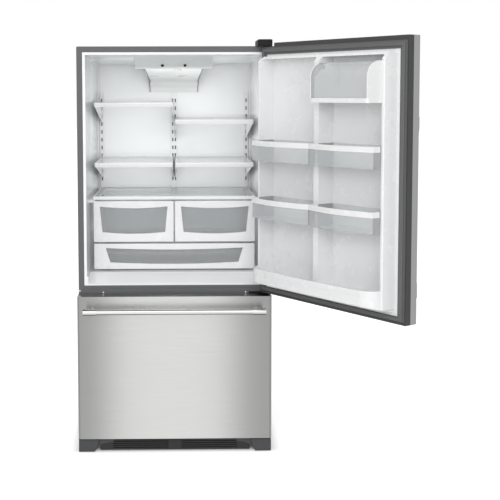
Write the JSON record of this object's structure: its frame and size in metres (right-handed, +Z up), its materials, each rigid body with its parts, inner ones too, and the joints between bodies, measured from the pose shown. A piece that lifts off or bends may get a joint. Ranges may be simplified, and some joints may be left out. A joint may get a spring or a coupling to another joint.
{
  "type": "bottom freezer refrigerator",
  "caption": "Free-standing refrigerator with one wide swinging door above and a pull-out freezer drawer below, with shelves, drawers and door bins inside.",
  "frame": {"origin": "on the floor under the middle of the case (its width and depth without doors)", "axes": "+X to the right seen from the front, +Y towards the back, +Z up"},
  "size_m": [1.3244, 1.4509, 1.763],
  "materials": {
    "case_paint": "satin",
    "galvanised_sheet": "satin",
    "liner_plastic": "gloss",
    "white_trim": "gloss",
    "polyurethane_foam": "matte",
    "stainless": "brushed",
    "handle_steel": "polished",
    "edge_plastic": "satin",
    "base_plastic": "matte",
    "black_plastic": "satin",
    "shelf_glass": "clear",
    "clear_plastic": "clear",
    "lens_plastic": "frosted",
    "gasket_rubber": "matte",
    "zinc_steel": "satin",
    "compressor_paint": "gloss",
    "coil_aluminium": "satin",
    "fan_plastic": "matte",
    "roller_plastic": "matte"
  },
  "bodies": {
    "case": {"case_wrap": "case_paint", "back_panel": "galvanised_sheet", "fridge_liner": "liner_plastic", "freezer_liner": "liner_plastic", "case_foam": "polyurethane_foam", "mullion_bar": "case_paint", "base_frame": "galvanised_sheet", "base_grille": "base_plastic", "foot_covers": "edge_plastic", "compressor": "compressor_paint", "condenser": "coil_aluminium", "evaporator": "coil_aluminium", "control_housing": "liner_plastic", "lamp_lens": "lens_plastic", "shelf_ladders": "white_trim", "crisper_frame": "white_trim", "crisper_glass": "shelf_glass", "door_hinges": "zinc_steel", "hinge_cover": "black_plastic", "slide_outer": "zinc_steel", "shelf_upper_left_frame": "white_trim", "shelf_upper_right_frame": "white_trim", "shelf_lower_left_frame": "white_trim", "shelf_lower_right_frame": "white_trim", "shelf_upper_left_glass": "shelf_glass", "shelf_upper_right_glass": "shelf_glass", "shelf_lower_left_glass": "shelf_glass", "shelf_lower_right_glass": "shelf_glass"},
    "door": {"door_skin": "stainless", "door_frame": "edge_plastic", "door_liner": "liner_plastic", "door_foam": "polyurethane_foam", "door_gasket": "gasket_rubber", "door_handle": "handle_steel", "dairy_housing": "white_trim"},
    "freezer_front": {"freezer_skin": "stainless", "freezer_inner": "edge_plastic", "freezer_foam": "polyurethane_foam", "freezer_gasket": "gasket_rubber", "freezer_handle": "handle_steel", "slide_inner": "zinc_steel"},
    "slide_middle": {"slide_middle": "zinc_steel"},
    "basket_lower": {"freezer_basket_lower": "white_trim"},
    "basket_upper": {"freezer_basket_upper": "white_trim"},
    "crisper_left": {"crisper_left": "clear_plastic"},
    "crisper_right": {"crisper_right": "clear_plastic"},
    "wide_drawer": {"wide_drawer": "clear_plastic"},
    "dairy_lid": {"dairy_lid": "clear_plastic"},
    "fridge_button": {"fridge_button": "white_trim"},
    "freezer_button": {"freezer_button": "white_trim"},
    "leg_left": {"leveling_leg_left": "zinc_steel"},
    "leg_right": {"leveling_leg_right": "zinc_steel"},
    "roller_left": {"rear_roller_left": "roller_plastic"},
    "roller_right": {"rear_roller_right": "roller_plastic"},
    "condenser_fan": {"condenser_fan": "fan_plastic"},
    "evaporator_fan": {"evaporator_fan": "fan_plastic"},
    "door_bin_upper_left": {"door_bin_upper_left": "clear_plastic"},
    "door_bin_upper_right": {"door_bin_upper_right": "clear_plastic"},
    "door_bin_lower_left": {"door_bin_lower_left": "clear_plastic"},
    "door_bin_lower_right": {"door_bin_lower_right": "clear_plastic"}
  },
  "joints": [
    {"name": "door_hinge", "type": "hinge", "parent": "case", "child": "door", "pos_m": [0.398, -0.389, 1.2], "axis": [0, 0, 1], "range_deg": [-124.5, 6]},
    {"name": "freezer_drawer", "type": "slide", "parent": "case", "child": "freezer_front", "axis": [0, -1, 0], "range_m": [0, 0.42]},
    {"name": "slide_extension", "type": "slide", "parent": "case", "child": "slide_middle", "axis": [0, -1, 0], "range_m": [0, 0.21]},
    {"name": "upper_basket_slide", "type": "slide", "parent": "case", "child": "basket_upper", "axis": [0, -1, 0], "range_m": [0, 0.357]},
    {"name": "lower_basket_lift", "type": "slide", "parent": "freezer_front", "child": "basket_lower", "axis": [0, 0, 1], "range_m": [0, 0.04]},
    {"name": "crisper_left_slide", "type": "slide", "parent": "case", "child": "crisper_left", "axis": [0, -1, 0], "range_m": [0, 0.24]},
    {"name": "crisper_right_slide", "type": "slide", "parent": "case", "child": "crisper_right", "axis": [0, -1, 0], "range_m": [0, 0.24]},
    {"name": "wide_drawer_slide", "type": "slide", "parent": "case", "child": "wide_drawer", "axis": [0, -1, 0], "range_m": [0, 0.24]},
    {"name": "dairy_lid_hinge", "type": "hinge", "parent": "door", "child": "dairy_lid", "pos_m": [0.63659, -0.90211, 1.64679], "axis": [-0.5664, 0.8241, 0], "range_deg": [0, 85]},
    {"name": "fridge_button_press", "type": "slide", "parent": "case", "child": "fridge_button", "axis": [0, 0.3575, 0.9339], "range_m": [0, 0.0015], "stiffness_N_per_m": 400},
    {"name": "freezer_button_press", "type": "slide", "parent": "case", "child": "freezer_button", "axis": [0, 0.3575, 0.9339], "range_m": [0, 0.0015], "stiffness_N_per_m": 400},
    {"name": "leg_left_screw", "type": "slide", "parent": "case", "child": "leg_left", "axis": [0, 0, 1], "range_m": [0, 0.008]},
    {"name": "leg_right_screw", "type": "slide", "parent": "case", "child": "leg_right", "axis": [0, 0, 1], "range_m": [0, 0.008]},
    {"name": "roller_left_spin", "type": "hinge", "parent": "case", "child": "roller_left", "pos_m": [-0.372, 0.303, 0.02], "axis": [1, 0, 0], "continuous": true},
    {"name": "roller_right_spin", "type": "hinge", "parent": "case", "child": "roller_right", "pos_m": [0.372, 0.303, 0.02], "axis": [1, 0, 0], "continuous": true},
    {"name": "condenser_fan_spin", "type": "hinge", "parent": "case", "child": "condenser_fan", "pos_m": [-0.092, 0.215, 0.138], "axis": [1, 0, 0], "continuous": true},
    {"name": "evaporator_fan_spin", "type": "hinge", "parent": "case", "child": "evaporator_fan", "pos_m": [0, 0.237, 0.56], "axis": [0, 1, 0], "continuous": true},
    {"name": "door_bin_upper_left_lift", "type": "slide", "parent": "door", "child": "door_bin_upper_left", "axis": [0, 0, 1], "range_m": [0, 0.025]},
    {"name": "door_bin_upper_right_lift", "type": "slide", "parent": "door", "child": "door_bin_upper_right", "axis": [0, 0, 1], "range_m": [0, 0.025]},
    {"name": "door_bin_lower_left_lift", "type": "slide", "parent": "door", "child": "door_bin_lower_left", "axis": [0, 0, 1], "range_m": [0, 0.025]},
    {"name": "door_bin_lower_right_lift", "type": "slide", "parent": "door", "child": "door_bin_lower_right", "axis": [0, 0, 1], "range_m": [0, 0.025]}
  ],
  "couplings": [
    {"joint": "slide_extension", "follows": "freezer_drawer", "ratio": 0.5},
    {"joint": "upper_basket_slide", "follows": "freezer_drawer", "ratio": 0.85}
  ]
}
